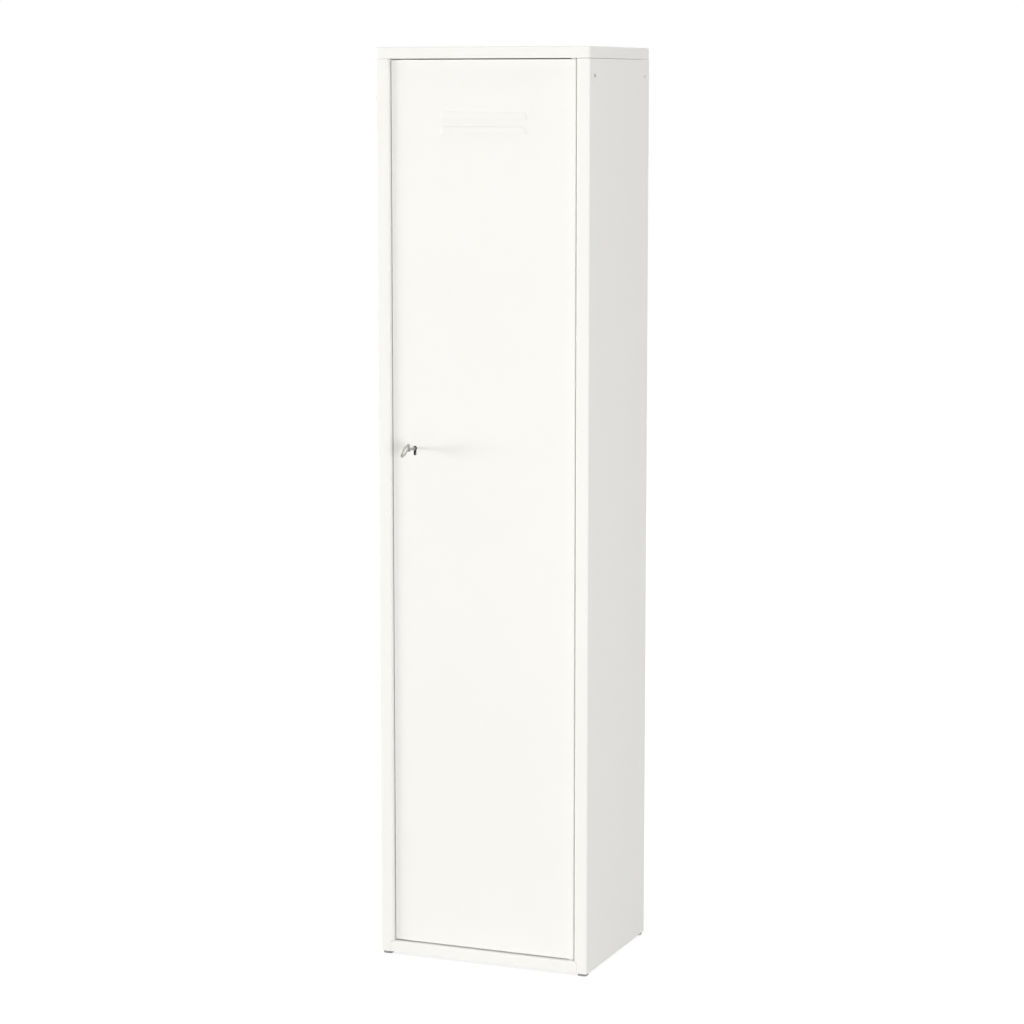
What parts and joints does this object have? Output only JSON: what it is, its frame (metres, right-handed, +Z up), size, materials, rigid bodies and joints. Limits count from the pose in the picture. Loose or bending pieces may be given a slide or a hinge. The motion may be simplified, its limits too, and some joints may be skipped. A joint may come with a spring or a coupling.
{
  "type": "tool chest side locker",
  "caption": "Tall narrow white steel side locker with one inset, louvred door on hidden pivot pins, a key lock with its key in it, and shelves on clips inside.",
  "frame": {"origin": "on the floor, below the middle of the box that holds the locker and its key", "axes": "+Z up, -Y out of the door, +X towards the hinge side"},
  "size_m": [0.4, 0.3466, 1.63],
  "materials": {
    "white_paint": "warm white powder coat, satin",
    "zinc_steel": "bright zinc plating",
    "nickel_steel": "dull nickel plating",
    "grey_plastic": "grey moulded plastic",
    "pale_nylon": "natural nylon",
    "black_rubber": "matt rubber"
  },
  "bodies": {
    "cabinet": {"side_panel_left": "white_paint", "side_panel_right": "white_paint", "top_cap": "white_paint", "base_panel": "white_paint", "back_panel": "white_paint", "foot_front_left": "grey_plastic", "foot_front_right": "grey_plastic", "foot_back_left": "grey_plastic", "foot_back_right": "grey_plastic", "upright_front_left": "white_paint", "upright_back_left": "white_paint", "upright_front_right": "white_paint", "upright_back_right": "white_paint", "clip_1_front_left": "zinc_steel", "clip_2_front_left": "zinc_steel", "clip_3_front_left": "zinc_steel", "clip_1_back_left": "zinc_steel", "clip_2_back_left": "zinc_steel", "clip_3_back_left": "zinc_steel", "clip_1_front_right": "zinc_steel", "clip_2_front_right": "zinc_steel", "clip_3_front_right": "zinc_steel", "clip_1_back_right": "zinc_steel", "clip_2_back_right": "zinc_steel", "clip_3_back_right": "zinc_steel", "shelf_1": "white_paint", "shelf_2": "white_paint", "shelf_3": "white_paint", "door_buffer_1": "black_rubber", "door_buffer_2": "black_rubber", "hinge_pin_top": "zinc_steel", "hinge_pin_bottom": "zinc_steel"},
    "door": {"door_panel": "white_paint", "door_stiffener": "white_paint", "hinge_bush_top": "pale_nylon", "hinge_bush_bottom": "pale_nylon", "lock_case": "zinc_steel", "lock_cover": "zinc_steel", "lock_nut_1": "zinc_steel", "lock_nut_2": "zinc_steel", "bolt_spring": "nickel_steel"},
    "bolt": {"lock_bolt": "nickel_steel"},
    "key": {"key": "nickel_steel"}
  },
  "joints": [
    {"name": "door_swing", "type": "hinge", "parent": "cabinet", "child": "door", "pos_m": [0.1665, -0.11375, 0.8175], "axis": [0, 0, 1], "range_deg": [0, 100]},
    {"name": "key_turn", "type": "hinge", "parent": "door", "child": "key", "pos_m": [-0.1316, -0.11925, 0.928], "axis": [0, 1, 0], "range_deg": [-28, 62]},
    {"name": "bolt_throw", "type": "slide", "parent": "door", "child": "bolt", "axis": [-1, 0, 0], "range_m": [-0.00311, 0.00689]}
  ],
  "couplings": [
    {"joint": "key_turn", "follows": "bolt_throw", "rad_per_m": 157.08}
  ]
}
